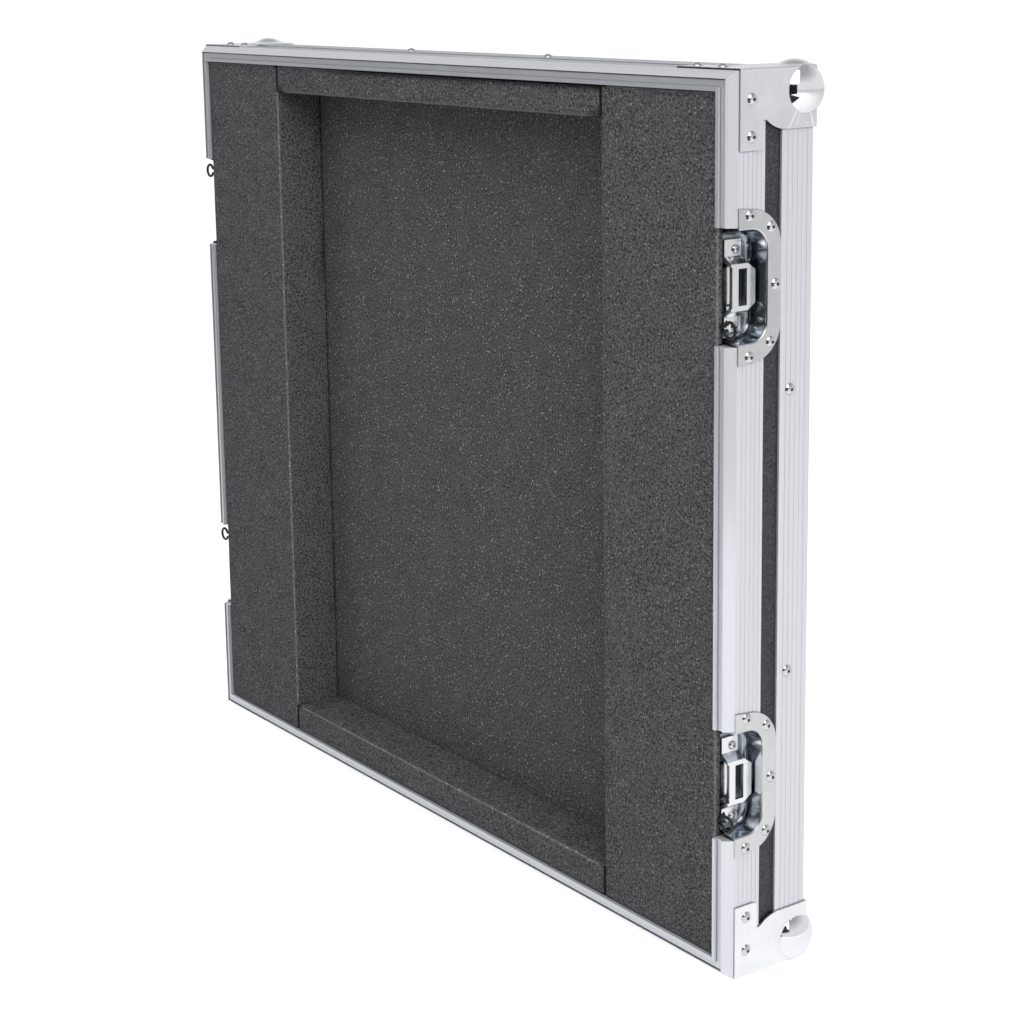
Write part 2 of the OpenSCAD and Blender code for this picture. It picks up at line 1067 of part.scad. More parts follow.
module rivets_corner_back() {
    color(zinc)
        placed()
            both_sides()
                for (z = [back_rivet_inset, cover_height - back_rivet_inset])
                    back_rivet(half_width - back_rivet_inset, cover_depth + corner_sheet, z);
}

module rivets_dish() {
    color(zinc)
        placed()
            both_sides()
                for (z = [lower_z, upper_z])
                    for (place = flange_rivets)
                        side_rivet(dish_face, place[0], z + place[1], rivet_diameter);
}

module keeper_rivets() {
    top = pan_floor + keeper_sheet;
    side_rivet(top, lug_rivet_y, lug_rivet_z, keeper_rivet_diameter);
    side_rivet(top, lug_rivet_y, eye_rivet_z, keeper_rivet_diameter);
}

module rivets_keeper() {
    color(zinc)
        placed()
            for (z = [lower_z, upper_z]) {
                raised(z)
                    keeper_rivets();
                turned(z)
                    keeper_rivets();
            }
}

module rivets_angle() {
    inset = angle_rivet_inset;
    color(zinc)
        placed() {
            for (z = [cover_height - side_rivet_spacing, cover_height + side_rivet_spacing] / 2)
                both_sides() {
                    side_rivet(half_width, cover_depth - inset, z, rivet_diameter);
                    back_rivet(half_width - inset, cover_depth, z);
                }
            for (flip = [0, 1])
                both_sides()
                    translate([0, 0, flip * cover_height])
                        mirror([0, 0, flip])
                            translate([end_rivet_spacing / 2, 0, 0]) {
                                back_rivet(0, cover_depth, inset);
                                translate([0, cover_depth - inset, 0])
                                    mirror([0, 0, 1])
                                        rivet(rivet_diameter);
                            }
        }
}

back_panel();
board_left();
board_right();
board_top();
board_bottom();
rim_top();
rim_bottom();
rim_left_upper();
rim_left_middle();
rim_left_lower();
rim_right_upper();
rim_right_middle();
rim_right_lower();
angle_left();
angle_right();
angle_top();
angle_bottom();
corner_top_left();
corner_top_right();
corner_bottom_left();
corner_bottom_right();
dish_left_upper();
dish_left_lower();
dish_right_upper();
dish_right_lower();
keeper_left_upper();
keeper_left_lower();
keeper_right_upper();
keeper_right_lower();
foam_back();
foam_left();
foam_right();
foam_top();
foam_bottom();
rivets_corner_side();
rivets_corner_top();
rivets_corner_bottom();
rivets_corner_back();
rivets_dish();
rivets_keeper();
rivets_angle();
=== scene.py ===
"""The lift-off cover of a rack case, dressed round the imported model. Lengths are in metres."""
import bmesh
import bpy
import math
import numpy as np
from itertools import product
from mathutils import Matrix, Vector, noise


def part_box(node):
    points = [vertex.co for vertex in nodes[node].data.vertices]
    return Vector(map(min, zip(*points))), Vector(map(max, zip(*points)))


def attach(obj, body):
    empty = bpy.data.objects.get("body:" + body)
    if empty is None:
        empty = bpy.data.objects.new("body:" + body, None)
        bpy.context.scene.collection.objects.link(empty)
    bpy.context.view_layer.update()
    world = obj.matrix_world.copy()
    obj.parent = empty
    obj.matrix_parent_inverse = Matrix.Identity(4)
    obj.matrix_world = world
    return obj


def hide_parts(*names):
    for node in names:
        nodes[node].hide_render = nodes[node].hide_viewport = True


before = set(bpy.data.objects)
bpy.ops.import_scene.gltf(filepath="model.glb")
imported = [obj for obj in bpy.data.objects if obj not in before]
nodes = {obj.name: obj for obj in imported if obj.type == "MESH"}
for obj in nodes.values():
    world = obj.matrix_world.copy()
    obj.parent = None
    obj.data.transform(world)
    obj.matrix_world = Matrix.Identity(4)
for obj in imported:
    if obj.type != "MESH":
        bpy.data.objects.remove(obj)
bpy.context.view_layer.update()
scene = bpy.context.scene
scene.view_settings.view_transform = "Standard"

MM = 0.001
X, Y, Z = 0, 1, 2
SIDES = ("left", "right")
LEVELS = ("upper", "lower")

# Camera.
CAMERA_AT = (1.0371, -0.7216, 0.5270)
YAW, PITCH, ROLL = 53.991, -10.834, -0.796
FOCAL_PIXELS = 2119.3
PICTURE = 1024
CENTRE_ROW = 370
SENSOR = 36.0
CLIP_NEAR, CLIP_FAR = 0.05, 60


def make_camera():
    """A camera at the photograph's angle, whose optical axis meets the picture above its middle."""
    yaw, pitch, roll = (math.radians(v) for v in (YAW, PITCH, ROLL))
    ahead = Vector((-math.sin(yaw) * math.cos(pitch), math.cos(yaw) * math.cos(pitch), math.sin(pitch)))
    level = Vector((math.cos(yaw), math.sin(yaw), 0))
    above = level.cross(ahead)
    right = level * math.cos(roll) + above * math.sin(roll)
    up = -level * math.sin(roll) + above * math.cos(roll)
    data = bpy.data.cameras.new("camera")
    data.sensor_width = SENSOR
    data.lens = FOCAL_PIXELS / PICTURE * SENSOR
    data.shift_y = (CENTRE_ROW - PICTURE / 2) / PICTURE
    data.clip_start, data.clip_end = CLIP_NEAR, CLIP_FAR
    camera = bpy.data.objects.new("camera", data)
    scene.collection.objects.link(camera)
    camera.matrix_world = Matrix.Translation(CAMERA_AT) @ Matrix((right, up, -ahead)).transposed().to_4x4()
    scene.camera = camera


# Materials.
BALL_RADIUS = 15 * MM
BALL_MARGIN = 0.05 * MM
BALL_FADE = 0.3 * MM
# The values that a noise texture mostly takes.
NOISE_LOW, NOISE_HIGH = 0.3, 0.7
# Occlusion values at which a place counts as touched by another surface, and as open, for the painted shade
# mixed into colours there.
CONTACT_CLOSE, CONTACT_OPEN = 0.45, 0.9
CONTACT_SAMPLES = 6
# Distances from the cover's middle between which a dish's flange turns into its pan.
PAN_EDGE_IN, PAN_EDGE_OUT = 0.2695, 0.2702
# How far the die lines are drawn out along an extrusion.
DIE_STRETCH = 0.004
# Foam cells whose draw is above SPECK_DRAW show a speck, and SPECK_BONUS adds more of them on cut edges.
SPECK_DRAW, SPECK_BONUS = 0.87, 0.12
# A speck is full up to SPECK_CORE from its cell's middle and gone at SPECK_RIM. Most are faint.
SPECK_CORE, SPECK_RIM = 0.20, 0.34
SPECK_FAINT, SPECK_BRIGHT, SPECK_POWER = 0.12, 0.9, 2.5
# Share of the wide clouds in the foam's tone, and of the painted highlight on its cut edges.
WIDE_SHARE = 0.12
EDGE_HIGHLIGHT_SHARE = 0.45


def rgb(red, green, blue):
    return (red, green, blue, 1)


def put(tree, socket, value):
    """A constant is set on the socket, anything else is linked to it."""
    if isinstance(value, bpy.types.NodeSocket):
        tree.links.new(value, socket)
    else:
        socket.default_value = value


class Tree:
    """A material and short calls for its nodes."""

    def __init__(self, name):
        self.material = bpy.data.materials.new(name)
        self.material.use_nodes = True
        self.tree = self.material.node_tree
        self.tree.nodes.clear()
        out = self.add("ShaderNodeOutputMaterial")
        self.shader = self.add("ShaderNodeBsdfPrincipled")
        self.put(out.inputs["Surface"], self.shader.outputs[0])
        self.place = self.add("ShaderNodeTexCoord").outputs["Object"]

    def add(self, kind, **properties):
        node = self.tree.nodes.new(kind)
        for name, value in properties.items():
            setattr(node, name, value)
        return node

    def put(self, socket, value):
        put(self.tree, socket, value)

    def surface(self, **values):
        for name, value in values.items():
            self.put(self.shader.inputs[name.replace("_", " ")], value)

    def stretched(self, scale):
        """The place, scaled apart along each axis."""
        node = self.add("ShaderNodeVectorMath", operation="MULTIPLY")
        self.put(node.inputs[0], self.place)
        self.put(node.inputs[1], scale)
        return node.outputs[0]

    def noise(self, scale, detail=2.0, rough=0.5, stretch=None):
        node = self.add("ShaderNodeTexNoise")
        self.put(node.inputs["Vector"], self.stretched(stretch) if stretch else self.place)
        self.put(node.inputs["Scale"], scale)
        self.put(node.inputs["Detail"], detail)
        self.put(node.inputs["Roughness"], rough)
        return node.outputs["Fac"]

    def cells(self, scale):
        """Scattered cells, with their distance and their colour."""
        node = self.add("ShaderNodeTexVoronoi")
        self.put(node.inputs["Vector"], self.place)
        self.put(node.inputs["Scale"], scale)
        return node

    def math(self, operation, a, b=0.0):
        node = self.add("ShaderNodeMath", operation=operation)
        self.put(node.inputs[0], a)
        self.put(node.inputs[1], b)
        return node.outputs[0]

    def times(self, a, b):
        return self.math("MULTIPLY", a, b)

    def plus(self, a, b, share=None):
        """a and b, or a and a share of b."""
        return self.math("ADD", a, b if share is None else self.times(b, share))

    def span(self, value, a, b, low=0.0, high=1.0):
        """value from a..b mapped to low..high, and held there."""
        node = self.add("ShaderNodeMapRange")
        for socket, v in zip(node.inputs, (value, a, b, low, high)):
            self.put(socket, v)
        return node.outputs[0]

    def spread(self, texture, low=0.0, high=1.0):
        """A noise texture's usual range mapped to low..high."""
        return self.span(texture, NOISE_LOW, NOISE_HIGH, low, high)

    def choose(self, mask, off, on):
        """off where the mask is 0, on where it is 1."""
        return self.span(mask, 0, 1, off, on)

    def mix(self, fac, a, b):
        """Colour a to colour b."""
        node = self.add("ShaderNodeMix", data_type="RGBA")
        self.put(node.inputs["Factor"], fac)
        self.put(node.inputs[6], a)
        self.put(node.inputs[7], b)
        return node.outputs[2]

    def bump(self, height, strength, depth):
        node = self.add("ShaderNodeBump")
        self.put(node.inputs["Height"], height)
        self.put(node.inputs["Strength"], strength)
        self.put(node.inputs["Distance"], depth)
        return node.outputs[0]

    def contact_shade(self, reach, floor):
        """How much a colour is kept against its painted shade: 1 in the open, falling to floor where another
        surface stands close by.
        """
        node = self.add("ShaderNodeAmbientOcclusion", samples=CONTACT_SAMPLES)
        self.put(node.inputs["Distance"], reach)
        return self.span(node.outputs["AO"], CONTACT_CLOSE, CONTACT_OPEN, floor, 1.0)

    def attribute(self, name):
        return self.add("ShaderNodeAttribute", attribute_name=name).outputs["Fac"]

    def near(self, points, radius, soft):
        """1 within radius of any of the points, falling to 0 over soft."""
        total = None
        for p in points:
            node = self.add("ShaderNodeVectorMath", operation="DISTANCE")
            self.put(node.inputs[0], self.place)
            self.put(node.inputs[1], p)
            close = self.span(node.outputs["Value"], radius, radius + soft, 1.0, 0.0)
            total = close if total is None else self.math("MAXIMUM", total, close)
        return total


def make_laminate():
    """Black laminate with a pebbled face."""
    t = Tree("laminate")
    # The last of these colours is painted shade, which darkens the laminate where other surfaces stand close.
    dark, light, painted_shade = rgb(0.006, 0.008, 0.012), rgb(0.052, 0.058, 0.070), rgb(0.002, 0.002, 0.003)
    pebble = t.noise(scale=900, detail=3, rough=0.6)
    fine = t.noise(scale=2600)
    plain = t.mix(t.span(pebble, 0.38, 0.66), dark, light)
    t.surface(
        Base_Color=t.mix(t.contact_shade(reach=2.0 * MM, floor=0.1), painted_shade, plain),
        Roughness=t.spread(fine, 0.36, 0.55),
        Normal=t.bump(t.plus(pebble, fine, share=0.4), strength=1.0, depth=0.5 * MM),
    )
    return t.material


def make_aluminium(name, along):
    """Satin extrusion with its die lines along one axis."""
    t = Tree(name)
    # The last of these colours is painted shade, which darkens the extrusion where other surfaces stand close.
    dark, light, painted_shade = rgb(0.66, 0.675, 0.72), rgb(0.75, 0.765, 0.81), rgb(0.05, 0.055, 0.065)
    stretch = [1.0, 1.0, 1.0]
    stretch[along] = DIE_STRETCH
    lines = t.noise(scale=2200, detail=3, rough=0.6, stretch=stretch)
    bands = t.noise(scale=260, stretch=stretch)
    cloud = t.noise(scale=30, detail=3)
    tone = t.plus(t.times(lines, 0.5), bands, share=0.5)
    t.surface(
        Base_Color=t.mix(t.contact_shade(reach=1.1 * MM, floor=0.3), painted_shade, t.mix(t.spread(tone), dark, light)),
        Metallic=0.6,
        Specular_IOR_Level=0.3,
        Roughness=t.span(t.plus(lines, cloud, share=0.5), 0.45, 1.0, 0.30, 0.44),
        Normal=t.bump(lines, strength=0.12, depth=0.05 * MM),
    )
    return t.material


def make_corner(name, balls):
    """Bright zinc on the pressed corners, with polished balls."""
    t = Tree(name)
    # The last of these colours is painted shade, which darkens the corner plates where other surfaces stand
    # close.
    dark, light, painted_shade = rgb(0.82, 0.835, 0.865), rgb(0.89, 0.905, 0.935), rgb(0.06, 0.065, 0.07)
    cloud = t.noise(scale=45, detail=3, rough=0.6)
    grain = t.noise(scale=1500)
    ball = t.near(balls, BALL_RADIUS + BALL_MARGIN, BALL_FADE)
    rough = t.plus(t.spread(cloud, 0.20, 0.30), grain, share=0.06)
    t.surface(
        Base_Color=t.mix(t.contact_shade(reach=1.0 * MM, floor=0.3), painted_shade, t.mix(t.spread(cloud), dark, light)),
        Metallic=1.0,
        Roughness=t.times(rough, t.choose(ball, off=1.0, on=0.22)),
        Normal=t.bump(cloud, strength=0.10, depth=1.5 * MM),
    )
    return t.material


def make_dish(name):
    """Zinc plate: satin on the flange, bright inside the pan, with painted shade in the pan where other
    surfaces stand close.
    """
    t = Tree(name)
    dark, light = rgb(0.60, 0.61, 0.62), rgb(0.68, 0.69, 0.70)
    # The first of these colours is painted shade, mixed into the pan where other surfaces stand close.
    pan_shade, drawn = rgb(0.03, 0.035, 0.042), rgb(0.60, 0.65, 0.71)
    split = t.add("ShaderNodeSeparateXYZ")
    t.put(split.inputs[0], t.place)
    inside = t.span(t.math("ABSOLUTE", split.outputs["X"]), PAN_EDGE_IN, PAN_EDGE_OUT, 1.0, 0.0)
    cloud = t.noise(scale=60, detail=3, rough=0.6)
    wave = t.noise(scale=25, detail=1, rough=0.4)
    flange = t.mix(t.spread(cloud), dark, light)
    pan = t.mix(t.contact_shade(reach=8 * MM, floor=0.0), pan_shade, drawn)
    height = t.times(t.plus(cloud, wave), t.choose(inside, off=1.0, on=0.25))
    t.surface(
        Base_Color=t.mix(inside, flange, pan),
        Metallic=1.0,
        Roughness=t.times(t.spread(cloud, 0.24, 0.34), t.choose(inside, off=1.0, on=0.55)),
        Normal=t.bump(height, strength=0.12, depth=1.2 * MM),
    )
    return t.material


def make_keeper(name):
    """Bright zinc, with the padlock eye left black."""
    t = Tree(name)
    # The last of these colours is painted shade, which darkens the keeper where other surfaces stand close.
    dark, light, painted_shade = rgb(0.80, 0.81, 0.82), rgb(0.88, 0.89, 0.90), rgb(0.05, 0.055, 0.065)
    black = rgb(0.004, 0.004, 0.005)
    cloud = t.noise(scale=120, detail=3, rough=0.6)
    ring = t.attribute("ring")
    bright = t.mix(t.contact_shade(reach=1.2 * MM, floor=0.2), painted_shade, t.mix(t.spread(cloud), dark, light))
    t.surface(
        Base_Color=t.mix(ring, bright, black),
        Metallic=t.choose(ring, off=1.0, on=0.0),
        Roughness=t.plus(t.spread(cloud, 0.14, 0.24), ring, share=0.15),
        Normal=t.bump(cloud, strength=0.12, depth=0.6 * MM),
    )
    return t.material


def make_rivet(name):
    """Bright heads, darker in the bore: the mandrel's darker steel, with painted shade on the bore's wall."""
    t = Tree(name)
    pit = t.attribute("pit")
    cloud = t.noise(scale=500)
    t.surface(
        Base_Color=t.mix(pit, rgb(0.66, 0.665, 0.68), rgb(0.12, 0.12, 0.13)),
        Metallic=1.0,
        Roughness=t.plus(t.spread(cloud, 0.14, 0.22), pit, share=0.3),
        Normal=t.bump(cloud, strength=0.1, depth=0.2 * MM),
    )
    return t.material


def make_foam(name):
    """Open-cell charcoal foam: fine pores, a mottled tone, and cell walls that catch the light as specks.

    Its edge attribute is 1 on cut edges, which get a painted highlight, and -1 in seams, which get painted
    shade.
    """
    t = Tree(name)
    dark, light = rgb(0.022, 0.0216, 0.0245), rgb(0.136, 0.134, 0.142)
    edge_highlight, shaded_seam, speck = rgb(0.20, 0.198, 0.20), rgb(0.006, 0.006, 0.007), rgb(0.75, 0.75, 0.76)
    pores, coarse, walls = t.cells(scale=1250), t.cells(scale=560), t.cells(scale=700)
    mottle = t.noise(scale=780, detail=1.5, rough=0.6)
    wide = t.noise(scale=60, detail=3, rough=0.6)
    edge = t.attribute("edge")
    pick = t.add("ShaderNodeSeparateColor")
    t.put(pick.inputs[0], walls.outputs["Color"])
    chosen = t.math("GREATER_THAN", t.plus(pick.outputs[0], edge, share=SPECK_BONUS), SPECK_DRAW)
    dot = t.times(chosen, t.span(walls.outputs["Distance"], SPECK_CORE, SPECK_RIM, 1.0, 0.0))
    bright = t.choose(t.math("POWER", pick.outputs[1], SPECK_POWER), off=SPECK_FAINT, on=SPECK_BRIGHT)
    glint = t.times(dot, bright)
    tone = t.plus(t.times(mottle, 1 - WIDE_SHARE), wide, share=WIDE_SHARE)
    body = t.mix(t.span(tone, 0.36, 0.64), dark, light)
    # Cut edges are mixed towards a painted highlight, and seams towards painted shade.
    body = t.mix(t.times(edge, EDGE_HIGHLIGHT_SHARE), body, edge_highlight)
    body = t.mix(t.span(edge, -1.0, -0.1, 0.9, 0.0), body, shaded_seam)
    height = t.plus(pores.outputs["Distance"], coarse.outputs["Distance"], share=0.7)
    t.surface(
        Base_Color=t.mix(glint, body, speck),
        Roughness=t.choose(glint, off=0.92, on=0.5),
        Specular_IOR_Level=0.25,
        Normal=t.bump(height, strength=0.6, depth=0.4 * MM),
    )
    return t.material


def corner_balls():
    """The balls' centres, from the outermost reach of each corner's plate."""
    found = []
    for end, side in product(("top", "bottom"), SIDES):
        lo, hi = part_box("corner_%s_%s" % (end, side))
        x = hi.x - BALL_RADIUS if side == "right" else lo.x + BALL_RADIUS
        z = hi.z - BALL_RADIUS if end == "top" else lo.z + BALL_RADIUS
        found.append((x, hi.y - BALL_RADIUS, z))
    return found


make_camera()
LAMINATE = make_laminate()
ALUMINIUM_UPRIGHT = make_aluminium("aluminium_upright", Z)
ALUMINIUM_LEVEL = make_aluminium("aluminium_level", X)
CORNER = make_corner("corner_plate", corner_balls())
DISH = make_dish("dish_plate")
KEEPER = make_keeper("keeper_plate")
RIVET = make_rivet("rivet")
FOAM = make_foam("foam")
FINISHES = {"board": LAMINATE, "back": LAMINATE, "corner": CORNER, "dish": DISH, "keeper": KEEPER,
            "rivets": RIVET, "foam": FOAM}

for name, node in nodes.items():
    kind, end = name.split("_")[0], name.split("_")[-1]
    along = ALUMINIUM_LEVEL if end in ("top", "bottom") else ALUMINIUM_UPRIGHT
    for slot in node.material_slots:
        slot.material = FINISHES.get(kind, along)


# Pieces.
def new_piece(name, points, faces, material, mark, values):
    """A smooth mesh object from points and faces, with a value on each point, riding on the root body."""
    mesh = bpy.data.meshes.new(name)
    mesh.from_pydata(points, [], faces)
    mesh.polygons.foreach_set("use_smooth", [True] * len(mesh.polygons))
    mesh.attributes.new(mark, "FLOAT", "POINT").data.foreach_set("value", values)
    mesh.update()
    piece = bpy.data.objects.new(name, mesh)
    scene.collection.objects.link(piece)
    mesh.materials.append(material)
    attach(piece, "root")
    return piece


# Foam.
# Each slab is rounded within FOAM_RIM of its edges, and its faces have a point every FOAM_STEP.
FOAM_RIM = 1.3 * MM
FOAM_STEP = 5 * MM
# Grid lines in the rim, as shares of it, and the corners of a face in the grid.
RIM_STOPS = (0.0, 0.08, 0.3, 0.62, 1.0)
QUAD = ((0, 0), (1, 0), (1, 1), (0, 1))
# A point further than this off the slab's core, along two axes, is on an edge.
OFF_CORE = 1e-9
# A cut face is set back by up to CUT_DEPTH in soft waves, and the back edge of a side strip by BACK_DEPTH.
CUT_DEPTH, CUT_WAVES = 0.25 * MM, 45
BACK_DEPTH, BACK_WAVES, BACK_SEED = 1.0 * MM, 22, 5
# How fast that grows as the rounded edge turns to the back.
BACK_GAIN = 1.5
# How far a normal leans towards an axis before its point counts as part of that face's edge.
LEANS = 0.3
# The strips keep clear of each latch pan by the foam's clearance.
POCKET_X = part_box("dish_right_upper")[0].x - 0.3 * MM
POCKET_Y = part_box("dish_right_upper")[0].y - 0.4 * MM
POCKET_HALF = 29.6 * MM
# Where the top and bottom strips lie between the side strips.
END_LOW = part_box("foam_bottom")[1].z
END_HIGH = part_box("foam_top")[0].z
STRIP_LO, STRIP_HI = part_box("foam_top")
SEAM_REACH = 1.4 * MM
# The top strip's upper edge hangs off the rim by up to HANG. That starts at HANG_START from its left end,
# is full HANG_RUN further on, and fades out over HANG_BACK of its depth.
HANG = 1.1 * MM
HANG_START, HANG_RUN, HANG_BACK = 20 * MM, 90 * MM, 25 * MM
# Reach and rise of the top strip's lower corners, which are cut round.
LEFT_CORNER, RIGHT_CORNER = (11 * MM, 3.2 * MM), (16 * MM, 2.2 * MM)


def lines_between(lo, hi):
    """Grid lines from lo to hi, closer together within the rounded rim of either end."""
    start = [lo + FOAM_RIM * s for s in RIM_STOPS]
    end = [hi - FOAM_RIM * s for s in reversed(RIM_STOPS)]
    count = max(1, round((end[0] - start[-1]) / FOAM_STEP))
    middle = [start[-1] + (end[0] - start[-1]) * i / count for i in range(1, count)]
    return start + middle + end


def slab(name, node, bend, extra=(), shaded_seam=None):
    """A cut foam slab in the place of a CAD solid, with rounded edges.

    bend(p, n) moves a point, inwards only. extra adds grid lines to an axis.
    seam(p) is true where an edge lies against another slab, and such an edge gets painted shade.
    """
    lo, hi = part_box(node)
    grid = [lines_between(lo[a], hi[a]) for a in (X, Y, Z)]
    for axis, values in extra:
        inner = {v for v in values if lo[axis] + FOAM_RIM < v < hi[axis] - FOAM_RIM}
        grid[axis] = sorted(set(grid[axis]) | inner)
    size = [len(g) - 1 for g in grid]
    index, points, edge = {}, [], []

    def point(key):
        if key not in index:
            p = Vector(grid[a][key[a]] for a in (X, Y, Z))
            core = Vector(min(max(p[a], lo[a] + FOAM_RIM), hi[a] - FOAM_RIM) for a in (X, Y, Z))
            away = p - core
            normal = away.normalized()
            on_edge = sum(abs(away[a]) > OFF_CORE for a in (X, Y, Z)) > 1
            index[key] = len(points)
            points.append(bend(core + normal * FOAM_RIM, normal))
            # Points on an edge get 1 for a painted highlight, and those in a seam get -1 for painted shade.
            edge.append(0.0 if not on_edge else -1.0 if shaded_seam and shaded_seam(p) else 1.0)
        return index[key]

    faces = []
    for axis in (X, Y, Z):
        b, c = (axis + 1) % 3, (axis + 2) % 3
        for side, i, j in product((0, size[axis]), range(size[b]), range(size[c])):
            corners = []
            for di, dj in QUAD:
                key = [0, 0, 0]
                key[axis], key[b], key[c] = side, i + di, j + dj
                corners.append(point(tuple(key)))
            faces.append(corners if side else corners[::-1])
    piece = new_piece(name, points, faces, FOAM, "edge", edge)
    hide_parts(node)


def ripple(p, waves, seed):
    """Smooth noise from 0 to 1."""
    return 0.5 + 0.5 * noise.noise(Vector((p.x * waves + seed, p.y * waves, p.z * waves)))


def plain_bend(seed):
    """A cut face that isn't quite flat."""
    def bend(p, n):
        return p - n * (CUT_DEPTH * ripple(p, CUT_WAVES, seed))

    return bend


def pan_middles(side):
    """Heights of the latch pans' middles on one side."""
    boxes = [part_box("dish_%s_%s" % (side, level)) for level in LEVELS]
    return [(lo.z + hi.z) / 2 for lo, hi in boxes]


def side_bend(side, seed):
    """A side strip: its back edge wanders a little, and its outer face is cut back round the latch pans."""
    plain = plain_bend(seed)
    middles = pan_middles(side)
    sign = 1 if side == "right" else -1

    def bend(p, n):
        q = plain(p, n)
        if n.y > LEANS:
            wander = ripple(Vector((0, 0, p.z)), BACK_WAVES, seed + BACK_SEED)
            q.y -= BACK_DEPTH * wander * min(1.0, n.y * BACK_GAIN)
        behind = p.x * sign > POCKET_X and p.y > POCKET_Y
        if behind and any(abs(p.z - m) < POCKET_HALF for m in middles):
            q.x = sign * min(q.x * sign, POCKET_X)
        return q

    return bend


def side_lines(side):
    """Grid lines of a side strip, close on both sides of its pockets' walls and of its seams' ends."""
    walls = []
    for middle, s in product(pan_middles(side), (-1, 1)):
        walls += [middle + s * (POCKET_HALF - 0.05 * MM), middle + s * (POCKET_HALF + 0.25 * MM)]
    seams = [END_LOW - 0.5 * MM, END_LOW + 0.8 * MM, END_HIGH - 0.8 * MM, END_HIGH + 0.5 * MM]
    return [(Z, walls), (Y, [POCKET_Y - 0.2 * MM, POCKET_Y + 0.1 * MM]), (Z, seams)]


def side_seam(side):
    """The inner front edge of a side strip, where the top and bottom strips lie against it."""
    lo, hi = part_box("foam_" + side)
    inner = hi.x if side == "left" else lo.x

    def shaded_seam(p):
        return abs(p.x - inner) < SEAM_REACH and not END_LOW < p.z < END_HIGH

    return shaded_seam


def end_seam(p):
    """The ends of the top and bottom strips, against the side strips."""
    return min(p.x - STRIP_LO.x, STRIP_HI.x - p.x) < SEAM_REACH


def top_bend(seed):
    """The top strip: it hangs a little off the rim, and its lower corners are cut round."""
    plain = plain_bend(seed)

    def bend(p, n):
        q = plain(p, n)
        if n.z > LEANS:
            hang = min(1.0, max(0.0, (p.x - STRIP_LO.x - HANG_START) / HANG_RUN))
            q.z -= HANG * hang * max(0.0, 1 - (p.y - STRIP_LO.y) / HANG_BACK)
        if n.z < -LEANS:
            for away, (reach, rise) in ((p.x - STRIP_LO.x, LEFT_CORNER), (STRIP_HI.x - p.x, RIGHT_CORNER)):
                q.z += rise * max(0.0, 1 - away / reach) ** 2
        return q

    return bend


def top_lines():
    """Grid lines of the top strip, close together in its round corners."""
    left = [STRIP_LO.x + d * MM for d in (2, 3, 4, 6, 8.5, 11)]
    right = [STRIP_HI.x - d * MM for d in (2, 3.5, 5.5, 8, 11, 16)]
    return [(X, left + right), (Y, [STRIP_LO.y + HANG_BACK])]


slab("foam_pad", "foam_back", plain_bend(3.1))
slab("foam_strip_left", "foam_left", side_bend("left", 11.0), side_lines("left"), side_seam("left"))
slab("foam_strip_right", "foam_right", side_bend("right", 23.0), side_lines("right"), side_seam("right"))
slab("foam_strip_top", "foam_top", top_bend(31.7), top_lines(), end_seam)
slab("foam_strip_bottom", "foam_bottom", plain_bend(47.3), shaded_seam=end_seam)

# Rivets.
# Points that agree to a micrometre are one point.
PLACE_DIGITS = 6
RIVET_TURNS = 24
# Points this far out, as a share of the radius, belong to the base of a plain dome.
BASE_SHARE = 0.97
BORE_SHARE = 0.29
# Radii along the dome, as shares of the head's.
DOME_STOPS = (0.985, 0.94, 0.86, 0.75, 0.62, 0.5, 0.4)
# Share of the bore's radius, drop below its rim as a share of the head's radius, and darkness, which is
# painted shade down the bore over the mandrel's darker steel.
BORE_STOPS = ((1.12, 0.0, 0.0), (1.0, 0.03, 0.4), (0.94, 0.10, 1.0),
              (0.9, 0.24, 1.0), (0.6, 0.2, 1.0), (0.0, 0.17, 1.0))


def islands(node):
    """The separate solids of a CAD node, as arrays of their points."""
    mesh = nodes[node].data
    co = np.zeros(len(mesh.vertices) * 3)
    mesh.vertices.foreach_get("co", co)
    co = co.reshape(-1, 3)
    keys, first, same = {}, [], []
    for p in np.round(co, PLACE_DIGITS).tolist():
        key = tuple(p)
        if key not in keys:
            keys[key] = len(first)
            first.append(key)
        same.append(keys[key])
    parent = list(range(len(first)))

    def root(i):
        while parent[i] != i:
            parent[i] = parent[parent[i]]
            i = parent[i]
        return i

    for polygon in mesh.polygons:
        ring = [same[v] for v in polygon.vertices]
        for v in ring[1:]:
            parent[root(v)] = root(ring[0])
    groups = {}
    for i, p in enumerate(first):
        groups.setdefault(root(i), []).append(p)
    return [np.array(g) for _, g in sorted(groups.items())]


def dome_frame(solid):
    """The middle of a plain dome's base, its direction outwards, its radius and its height."""
    lo, hi = solid.min(0), solid.max(0)
    size = hi - lo
    axis = int(np.argmin(size))
    centre = (lo + hi) / 2
    radius = float(np.delete(size, axis).max()) / 2
    across = solid - centre
    across[:, axis] = 0
    wide = solid[np.linalg.norm(across, axis=1) > radius * BASE_SHARE]
    base_low = wide[:, axis].mean() < centre[axis]
    out = Vector((0, 0, 0))
    out[axis] = 1.0 if base_low else -1.0
    base = Vector(centre.tolist())
    base[axis] = lo[axis] if base_low else hi[axis]
    return base, out, radius, float(size[axis])


def rivet_profile(radius, height):
    """Radius, height and darkness along a blind rivet's head, from its rim to the mandrel in its bore."""
    ball = (radius ** 2 + height ** 2) / (2 * height)
    bore = radius * BORE_SHARE

    def dome(r):
        return math.sqrt(ball ** 2 - r ** 2) - (ball - height)

    points = [(0.0, 0.0, 0.0), (radius, 0.0, 0.0)]
    points += [(radius * s, dome(radius * s), 0.0) for s in DOME_STOPS]
    return points + [(bore * s, dome(bore) - drop * radius, pit) for s, drop, pit in BORE_STOPS]


